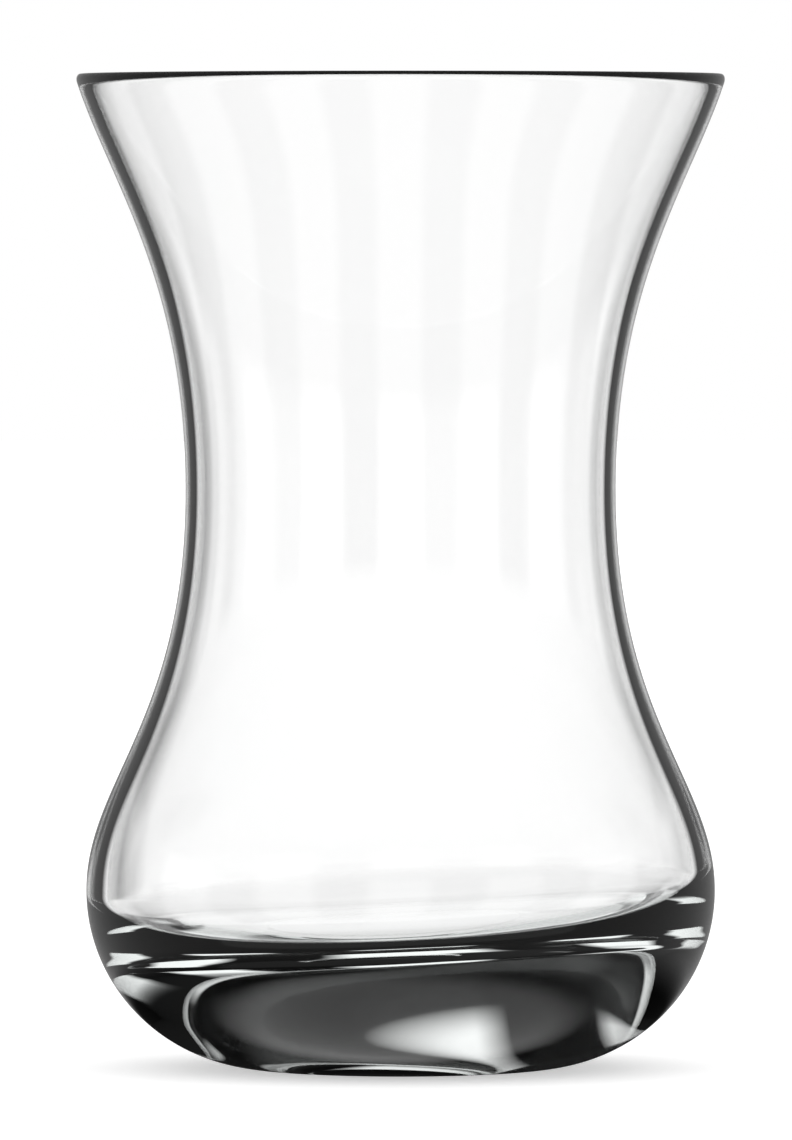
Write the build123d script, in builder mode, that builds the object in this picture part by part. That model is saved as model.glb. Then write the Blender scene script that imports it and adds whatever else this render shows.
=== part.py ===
# A waisted tea glass: one piece of clear glass, thin in the wall and heavy in the base.
# Millimetres, +Z up. The origin is the middle of the foot, where the glass stands.

import os

from build123d import *

# Outside: the driving dimensions
height = 86.0
rim_radius = 28.2
rim_flare = 0.30  # outward run of the wall for each millimetre of rise, at the lip
waist_radius = 18.6
waist_height = 50.0
bulb_radius = 27.2
bulb_height = 15.4
foot_radius = 11.5

# How far the wall keeps its first direction at each end of its two curves
bulb_pull = 9.4
waist_pull_down = 20.0
waist_pull_up = 18.7
rim_pull = 8.9

# Glass thickness
wall = 1.15
bulb_wall = 1.8  # where the wall runs into the base
lip_round = 0.52

# Inside floor: a shallow dish, pressed a little out of level, so that its lowest
# point lies left of the middle and the right side stands higher
floor_height = 10.0
dish_radius = 300.0
dish_lean = 12.0
floor_corner = 5.0


def wall_curves(bulb_inset, inset):
    """Draw the wall from bulb to waist and from waist to rim, set in from the outside."""
    bulb = bulb_radius - bulb_inset
    waist = waist_radius - inset
    rim = rim_radius - inset
    Bezier(
        (bulb, bulb_height),
        (bulb, bulb_height + bulb_pull),
        (waist, waist_height - waist_pull_down),
        (waist, waist_height),
    )
    Bezier(
        (waist, waist_height),
        (waist, waist_height + waist_pull_up),
        (rim - rim_flare * rim_pull, height - rim_pull),
        (rim, height),
    )
    Line((rim, height), (0, height))


# The hollow: the inside of the wall, closed below by the tilted dish
with BuildPart() as hollow:
    with BuildSketch(Plane.XZ):
        with BuildLine():
            inner_radius = bulb_radius - bulb_wall
            Polyline((0, height), (0, 0), (inner_radius, 0), (inner_radius, bulb_height))
            wall_curves(bulb_wall, wall)
        make_face()
    revolve(axis=Axis.Z)
    with Locations((-dish_lean, 0, floor_height + dish_radius)):
        Sphere(dish_radius, mode=Mode.INTERSECT)
    fillet(hollow.edges().group_by(Axis.Z)[0], radius=floor_corner)

# The glass: flat foot, rounded heel, bulb, waist and flared mouth, less the hollow
with BuildPart() as tea_glass:
    with BuildSketch(Plane.XZ):
        with BuildLine():
            Polyline((0, height), (0, 0), (foot_radius, 0))
            EllipticalCenterArc(
                (foot_radius, bulb_height),
                bulb_radius - foot_radius,
                bulb_height,
                start_angle=270,
                arc_size=90,
            )
            wall_curves(0, 0)
        make_face()
    revolve(axis=Axis.Z)
    add(hollow.part, mode=Mode.SUBTRACT)
    fillet(tea_glass.edges().group_by(Axis.Z)[-1], radius=lip_round)

tea_glass.part.label = "tea_glass"

os.makedirs("parts", exist_ok=True)
export_step(tea_glass.part, "parts/tea_glass.step")
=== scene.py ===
"""A waisted tea glass in clear glass, on a white sweep lit from behind.

Metres, +Z up, the camera looks along +Y. The glass stands at the origin.
"""

import math

import bpy
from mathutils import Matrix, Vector


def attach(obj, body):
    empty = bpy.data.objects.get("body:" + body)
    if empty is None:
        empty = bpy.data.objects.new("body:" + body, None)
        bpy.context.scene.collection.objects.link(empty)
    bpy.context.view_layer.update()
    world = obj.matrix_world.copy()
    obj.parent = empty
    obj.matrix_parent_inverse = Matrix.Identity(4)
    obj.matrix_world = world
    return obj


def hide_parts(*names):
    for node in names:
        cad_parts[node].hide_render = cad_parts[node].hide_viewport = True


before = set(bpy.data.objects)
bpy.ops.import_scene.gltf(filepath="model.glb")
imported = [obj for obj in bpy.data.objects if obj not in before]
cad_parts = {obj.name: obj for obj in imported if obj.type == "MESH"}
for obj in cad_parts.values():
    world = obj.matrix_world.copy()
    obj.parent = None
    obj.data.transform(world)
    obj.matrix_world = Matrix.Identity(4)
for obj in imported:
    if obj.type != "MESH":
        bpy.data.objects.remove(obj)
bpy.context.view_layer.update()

MM = 0.001

# The glass's driving sizes, in millimetres
HEIGHT = 86.0
RIM_RADIUS = 28.2
RIM_FLARE = 0.30
WAIST_RADIUS = 18.6
WAIST_HEIGHT = 50.0
BULB_RADIUS = 27.2
BULB_HEIGHT = 15.4
FOOT_RADIUS = 11.5
BULB_PULL = 9.4
WAIST_PULL_DOWN = 20.0
WAIST_PULL_UP = 18.7
RIM_PULL = 8.9
WALL = 1.15
BULB_WALL = 1.8  # where the wall runs into the base
LIP_DEPTH = 0.75  # height of the round lip
FLOOR_HEIGHT = 10.0  # glass under the lowest point of the inside floor
DISH_RADIUS = 300.0
DISH_LEAN = 12.0  # how far left of the axis that lowest point lies
FLOOR_CORNER = 5.0

# How finely the glass is meshed
TURN_STEPS = 288
CURVE_STEPS = 48
CORNER_STEPS = 32
FLAT_STEPS = 16
LIP_STEPS = 14

# Between these places on the wall, as wall_point counts them, the hollow's corner meets it
CORNER_LOWEST = -0.3
CORNER_HIGHEST = 0.4
AHEAD = 0.001  # a short step along the wall, to find its direction


def bezier(start, pull_1, pull_2, end, t):
    """The point at t, from 0 to 1, on a cubic curve."""
    weights = (1 - t) ** 3, 3 * (1 - t) ** 2 * t, 3 * (1 - t) * t * t, t ** 3
    controls = start, pull_1, pull_2, end
    return tuple(sum(w * c[axis] for w, c in zip(weights, controls)) for axis in (0, 1))


def wall_point(bulb_inset, inset, s):
    """Radius and height on the wall: s runs from 0 at the bulb to 1 at the waist and 2 at the rim.

    Below 0 it is the upright wall under the bulb's widest place, which the hollow's corner needs.
    """
    bulb = BULB_RADIUS - bulb_inset
    waist = WAIST_RADIUS - inset
    rim = RIM_RADIUS - inset
    if s < 0:
        return bulb, BULB_HEIGHT + 3 * BULB_PULL * s
    if s < 1:
        return bezier(
            (bulb, BULB_HEIGHT), (bulb, BULB_HEIGHT + BULB_PULL),
            (waist, WAIST_HEIGHT - WAIST_PULL_DOWN), (waist, WAIST_HEIGHT), s,
        )
    return bezier(
        (waist, WAIST_HEIGHT), (waist, WAIST_HEIGHT + WAIST_PULL_UP),
        (rim - RIM_FLARE * RIM_PULL, HEIGHT - RIM_PULL), (rim, HEIGHT), s - 1,
    )


def solve(low, high, too_high, halvings=40):
    """The value between low and high where too_high turns true."""
    for _ in range(halvings):
        middle = (low + high) / 2
        if too_high(middle):
            high = middle
        else:
            low = middle
    return (low + high) / 2


LIP_START = solve(1.5, 2.0, lambda s: wall_point(0, 0, s)[1] > HEIGHT - LIP_DEPTH)
LIP_START_INSIDE = solve(1.5, 2.0, lambda s: wall_point(BULB_WALL, WALL, s)[1] > HEIGHT - LIP_DEPTH)


def outside_profile():
    """Foot, heel, bulb, waist and flared mouth, from the foot's middle out and up."""
    profile = [(FOOT_RADIUS * i / FLAT_STEPS, 0.0) for i in range(1, FLAT_STEPS)]
    for i in range(CURVE_STEPS):
        turn = math.radians(90 * i / CURVE_STEPS)
        profile.append((
            FOOT_RADIUS + (BULB_RADIUS - FOOT_RADIUS) * math.sin(turn),
            BULB_HEIGHT * (1 - math.cos(turn)),
        ))
    steps = 2 * CURVE_STEPS
    profile += [wall_point(0, 0, LIP_START * i / steps) for i in range(steps)]
    return profile


def lip_profile():
    """The round lip, from the outer wall over to the inner one."""
    outer = wall_point(0, 0, LIP_START)
    inner = wall_point(BULB_WALL, WALL, LIP_START_INSIDE)
    middle = (outer[0] + inner[0]) / 2
    half = (outer[0] - inner[0]) / 2
    profile = []
    for i in range(LIP_STEPS + 1):
        turn = math.pi * i / LIP_STEPS
        rise = LIP_DEPTH * math.sin(turn)
        profile.append((middle + half * math.cos(turn) + RIM_FLARE * rise, outer[1] + rise))
    return profile


def corner_ball(turn):
    """Where a ball of the corner's radius touches the wall, and its middle, in the plane at turn."""
    centre_height = FLOOR_HEIGHT + DISH_RADIUS
    reach = DISH_RADIUS - FLOOR_CORNER

    def ball(s):
        radius, height = wall_point(BULB_WALL, WALL, s)
        ahead = wall_point(BULB_WALL, WALL, s + AHEAD)
        run = Vector((ahead[0] - radius, ahead[1] - height)).normalized()
        return radius - FLOOR_CORNER * run.y, height + FLOOR_CORNER * run.x

    def clear(s):
        radius, height = ball(s)
        x = radius * math.cos(turn) + DISH_LEAN
        y = radius * math.sin(turn)
        return height > centre_height - math.sqrt(reach ** 2 - x * x - y * y)

    s = solve(CORNER_LOWEST, CORNER_HIGHEST, clear)
    return s, ball(s)


def inside_profile(turn):
    """Inner wall, corner and dished floor, from the lip down and in to the axis."""
    s, (radius, height) = corner_ball(turn)
    steps = 2 * CURVE_STEPS
    profile = [
        wall_point(BULB_WALL, WALL, LIP_START_INSIDE + (s - LIP_START_INSIDE) * i / steps)
        for i in range(1, steps + 1)
    ]
    touch = profile[-1]
    first = math.atan2(touch[1] - height, touch[0] - radius)
    reach = radius + DISH_LEAN * math.cos(turn)
    last = math.asin(reach / (DISH_RADIUS - FLOOR_CORNER)) - math.pi / 2
    for i in range(1, CORNER_STEPS + 1):
        angle = first + (last - first) * i / CORNER_STEPS
        profile.append((
            radius + FLOOR_CORNER * math.cos(angle), height + FLOOR_CORNER * math.sin(angle),
        ))
    edge = profile[-1][0]
    for i in range(1, FLAT_STEPS):
        r = edge * (1 - i / FLAT_STEPS)
        profile.append((r, floor_level(r * math.cos(turn), r * math.sin(turn))))
    return profile


def floor_level(x, y):
    """Height of the dished inside floor."""
    drop = math.sqrt(DISH_RADIUS ** 2 - (x + DISH_LEAN) ** 2 - y ** 2)
    return FLOOR_HEIGHT + DISH_RADIUS - drop


def glass_mesh():
    """The whole glass as one closed mesh, ring by ring round the axis."""
    outside = outside_profile() + lip_profile()
    vertices = []
    for step in range(TURN_STEPS):
        turn = 2 * math.pi * step / TURN_STEPS
        for radius, height in outside + inside_profile(turn):
            vertices.append((
                radius * math.cos(turn) * MM, radius * math.sin(turn) * MM, height * MM,
            ))
    row = len(vertices) // TURN_STEPS
    under = len(vertices)
    vertices.append((0.0, 0.0, 0.0))
    over = len(vertices)
    vertices.append((0.0, 0.0, floor_level(0.0, 0.0) * MM))
    faces = []
    for step in range(TURN_STEPS):
        here = step * row
        there = (step + 1) % TURN_STEPS * row
        faces.append((under, there, here))
        for i in range(row - 1):
            faces.append((here + i, there + i, there + i + 1, here + i + 1))
        faces.append((here + row - 1, there + row - 1, over))
    mesh = bpy.data.meshes.new("tea_glass_body")
    mesh.from_pydata(vertices, [], faces)
    mesh.polygons.foreach_set("use_smooth", [True] * len(faces))
    mesh.validate()
    return mesh


GLASS_IOR = 1.52
GLASS_TINT = (0.86, 0.97, 0.93, 1.0)  # the colour that light takes on in the glass
TINT_DENSITY = 6.0


def clear_glass():
    """Clear smooth soda-lime glass with a faint cool tint."""
    material = bpy.data.materials.new("clear_glass")
    material.use_nodes = True
    nodes = material.node_tree.nodes
    links = material.node_tree.links
    shader = nodes["Principled BSDF"]
    shader.inputs["Base Color"].default_value = (1.0, 1.0, 1.0, 1.0)
    shader.inputs["Roughness"].default_value = 0.0
    shader.inputs["IOR"].default_value = GLASS_IOR
    shader.inputs["Transmission Weight"].default_value = 1.0
    absorption = nodes.new("ShaderNodeVolumeAbsorption")
    absorption.inputs["Color"].default_value = GLASS_TINT
    absorption.inputs["Density"].default_value = TINT_DENSITY
    links.new(absorption.outputs["Volume"], nodes["Material Output"].inputs["Volume"])
    return material


def build_glass():
    glass = bpy.data.objects.new("tea_glass_body", glass_mesh())
    bpy.context.scene.collection.objects.link(glass)
    glass.data.materials.append(clear_glass())
    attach(glass, "root")
    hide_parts("tea_glass")
    return glass


def add_math(nodes, links, operation, first, second=0.0, clamp=False):
    """A Math node on two values or sockets, and its output."""
    node = nodes.new("ShaderNodeMath")
    node.operation = operation
    node.use_clamp = clamp
    for socket, value in zip(node.inputs, (first, second)):
        if isinstance(value, (int, float)):
            socket.default_value = value
        else:
            links.new(value, socket)
    return node.outputs[0]


def mix_values(nodes, links, factor, first, second):
    """first where factor is 0 and second where it is 1."""
    node = nodes.new("ShaderNodeMix")
    for socket, value in zip((node.inputs["A"], node.inputs["B"]), (first, second)):
        if isinstance(value, (int, float)):
            socket.default_value = value
        else:
            links.new(value, socket)
    links.new(factor, node.inputs["Factor"])
    return node.outputs["Result"]


def mix_shaders(nodes, links, factor, first, second):
    """The shader node first where factor is 0 and second where it is 1."""
    node = nodes.new("ShaderNodeMixShader")
    links.new(factor, node.inputs[0])
    links.new(first.outputs[0], node.inputs[1])
    links.new(second.outputs[0], node.inputs[2])
    return node


def fade(nodes, links, value, start, end):
    """A smooth rise from 0 at start to 1 at end."""
    node = nodes.new("ShaderNodeMapRange")
    node.interpolation_type = "SMOOTHSTEP"
    node.inputs["From Min"].default_value = start
    node.inputs["From Max"].default_value = end
    links.new(value, node.inputs["Value"])
    return node.outputs["Result"]


def ramp(nodes, links, value, stops, low, high):
    """The grey that a value from 0 to 1 picks from stops, each (place between low and high, grey)."""
    node = nodes.new("ShaderNodeValToRGB")
    elements = node.color_ramp.elements
    elements.remove(elements[-1])
    for i, (place, grey) in enumerate(stops):
        position = (place - low) / (high - low)
        element = elements[0] if i == 0 else elements.new(position)
        element.position = position
        element.color = (grey, grey, grey, 1.0)
    links.new(value, node.inputs[0])
    return node.outputs[0]


# What the glass sees round it: light panels with darker gaps between them. Each stop is a
# compass angle in degrees and the grey there, and the round repeats every quarter turn.
PANEL_TURN = 90.0
PANELS = (
    (0, 1.0), (9, 1.0), (16, 0.42), (29, 0.42), (37, 1.0),
    (53, 1.0), (60, 0.0), (75, 0.0), (82, 1.0), (90, 1.0),
)
# The panels' brightness by height above the horizon, in degrees
PANEL_RISE = ((-90, 1.0), (8, 1.0), (14, 0.0), (90, 0.0))
# The same for light that has stayed in the solid base, where both kinds of gap are black
BASE_PANELS = (
    (0, 1.0), (10, 1.0), (15, 0.0), (31, 0.0), (36, 1.0),
    (54, 1.0), (59, 0.0), (76, 0.0), (81, 1.0), (90, 1.0),
)
BASE_RISE = ((-90, 1.0), (8, 1.0), (12, 0.0), (90, 0.0))
PANEL_LEVEL = 1.1
GLOSS_LEVEL = 0.3  # the white round the glass as its surface mirrors it
# Light in the base has gone through fewer glass surfaces than this, and so has light
# through the rim or along one wall; light through the hollow has gone through more
BASE_CROSSINGS = 2.5


def light_world():
    """White to the camera, plain soft light on the floor, panels and gaps in the glass."""
    world = bpy.data.worlds.new("white_sweep")
    bpy.context.scene.world = world
    world.use_nodes = True
    nodes = world.node_tree.nodes
    links = world.node_tree.links
    nodes.clear()
    place = nodes.new("ShaderNodeTexCoord")
    split = nodes.new("ShaderNodeSeparateXYZ")
    links.new(place.outputs["Generated"], split.inputs[0])
    x, y, z = split.outputs
    compass = add_math(nodes, links, "ARCTAN2", x, y)
    compass = add_math(nodes, links, "MULTIPLY", compass, math.degrees(1) / PANEL_TURN)
    compass = add_math(nodes, links, "FLOORED_MODULO", compass, 1.0)
    rise = add_math(nodes, links, "ARCSINE", z)
    rise = add_math(nodes, links, "MULTIPLY", rise, math.degrees(1) / 180)
    rise = add_math(nodes, links, "ADD", rise, 0.5)
    path = nodes.new("ShaderNodeLightPath")
    in_base = add_math(
        nodes, links, "LESS_THAN", path.outputs["Transmission Depth"], BASE_CROSSINGS,
    )
    around = mix_values(
        nodes, links, in_base,
        ramp(nodes, links, compass, PANELS, 0, PANEL_TURN),
        ramp(nodes, links, compass, BASE_PANELS, 0, PANEL_TURN),
    )
    up = mix_values(
        nodes, links, in_base,
        ramp(nodes, links, rise, PANEL_RISE, -90, 90),
        ramp(nodes, links, rise, BASE_RISE, -90, 90),
    )
    seen = add_math(nodes, links, "MULTIPLY", around, up)
    seen = add_math(nodes, links, "MULTIPLY", seen, PANEL_LEVEL)
    level = mix_values(nodes, links, path.outputs["Is Glossy Ray"], 1.0, GLOSS_LEVEL)
    level = mix_values(nodes, links, path.outputs["Is Transmission Ray"], level, seen)
    background = nodes.new("ShaderNodeBackground")
    background.inputs["Color"].default_value = (1.0, 1.0, 1.0, 1.0)
    links.new(level, background.inputs["Strength"])
    output = nodes.new("ShaderNodeOutputWorld")
    links.new(background.outputs[0], output.inputs["Surface"])


FLOOR_SIZE = 6.0  # metres
FLOOR_WHITE = (0.8, 0.8, 0.8, 1.0)
FLOOR_GLOW = 0.5  # keeps the open floor white to the camera, and the glass's shadow faint
# Distances from the glass's axis, in millimetres, over which the floor fades to the open panels: the
# first pair for the painted shade round the foot that light from the base sees, the second for light
# through the hollow
FOOT_PAINTED_SHADE_INNER = 30.0
FOOT_PAINTED_SHADE_OUTER = 48.0
FLOOR_SEEN_INNER = 90.0
FLOOR_SEEN_OUTER = 160.0
# Painted shade: the glow of the floor round the foot, to light from the base
FOOT_PAINTED_SHADE = 0.01
# Seen from nearly straight above, the floor is white through the base too. Between these
# values of Layer Weight's Facing it turns to the painted shade.
STEEP_FROM = 0.15
STEEP_TO = 0.3


def floor_material():
    """White with the glass's soft shadow for the camera; painted shade under the foot seen through the
    glass.
    """
    material = bpy.data.materials.new("white_floor")
    material.use_nodes = True
    nodes = material.node_tree.nodes
    links = material.node_tree.links
    nodes.clear()
    matte = nodes.new("ShaderNodeBsdfDiffuse")
    matte.inputs["Color"].default_value = FLOOR_WHITE
    glow = nodes.new("ShaderNodeEmission")
    path = nodes.new("ShaderNodeLightPath")
    to_camera = add_math(nodes, links, "MULTIPLY", path.outputs["Is Camera Ray"], FLOOR_GLOW)
    links.new(to_camera, glow.inputs["Strength"])
    white = nodes.new("ShaderNodeAddShader")
    links.new(matte.outputs[0], white.inputs[0])
    links.new(glow.outputs[0], white.inputs[1])
    # Through the glass: the open panels further out, and close to the foot the white floor,
    # which shows painted shade to light that has stayed in the solid base
    geometry = nodes.new("ShaderNodeNewGeometry")
    length = nodes.new("ShaderNodeVectorMath")
    length.operation = "LENGTH"
    links.new(geometry.outputs["Position"], length.inputs[0])
    reach = length.outputs["Value"]
    near = fade(nodes, links, reach, FOOT_PAINTED_SHADE_INNER * MM, FOOT_PAINTED_SHADE_OUTER * MM)
    far = fade(nodes, links, reach, FLOOR_SEEN_INNER * MM, FLOOR_SEEN_OUTER * MM)
    facing = nodes.new("ShaderNodeLayerWeight")
    grazing = fade(nodes, links, facing.outputs["Facing"], STEEP_FROM, STEEP_TO)
    in_base = add_math(
        nodes, links, "LESS_THAN", path.outputs["Transmission Depth"], BASE_CROSSINGS,
    )
    in_base = add_math(nodes, links, "MULTIPLY", in_base, grazing)
    # Painted shade: a near-black glow on the floor round the foot, standing in for the glass's shade
    # there
    painted_shade = nodes.new("ShaderNodeEmission")
    painted_shade.inputs["Strength"].default_value = FOOT_PAINTED_SHADE
    clear = nodes.new("ShaderNodeBsdfTransparent")
    bright = nodes.new("ShaderNodeEmission")
    from_base = mix_shaders(nodes, links, near, painted_shade, clear)
    from_hollow = mix_shaders(nodes, links, far, bright, clear)
    seen = mix_shaders(nodes, links, in_base, from_hollow, from_base)
    through = add_math(
        nodes, links, "MAXIMUM", path.outputs["Is Glossy Ray"], path.outputs["Is Transmission Ray"],
    )
    mix = mix_shaders(nodes, links, through, white, seen)
    output = nodes.new("ShaderNodeOutputMaterial")
    links.new(mix.outputs[0], output.inputs["Surface"])
    return material


def build_floor():
    half = FLOOR_SIZE / 2
    mesh = bpy.data.meshes.new("floor")
    corners = [(-half, -half, 0), (half, -half, 0), (half, half, 0), (-half, half, 0)]
    mesh.from_pydata(corners, [], [(0, 1, 2, 3)])
    floor = bpy.data.objects.new("floor", mesh)
    bpy.context.scene.collection.objects.link(floor)
    mesh.materials.append(floor_material())


# The camera: a long lens level with the upper part of the glass
CAMERA_DISTANCE = 1.15
CAMERA_HEIGHT = 0.075
AIM = Vector((-0.0004, 0.0, 0.0431))
FRAME_HEIGHT = 0.0986  # metres shown from the picture's top to its bottom, at the glass
CLIP_START = 0.01


def set_camera():
    data = bpy.data.cameras.new("camera")
    camera = bpy.data.objects.new("camera", data)
    bpy.context.scene.collection.objects.link(camera)
    camera.location = (AIM.x, -CAMERA_DISTANCE, CAMERA_HEIGHT)
    look = AIM - camera.location
    camera.rotation_euler = look.to_track_quat("-Z", "Y").to_euler()
    data.sensor_fit = "VERTICAL"
    data.angle = 2 * math.atan(FRAME_HEIGHT / 2 / look.length)
    data.clip_start = CLIP_START
    bpy.context.scene.camera = camera


build_glass()
light_world()
build_floor()
set_camera()
bpy.context.scene.view_settings.view_transform = "Standard"
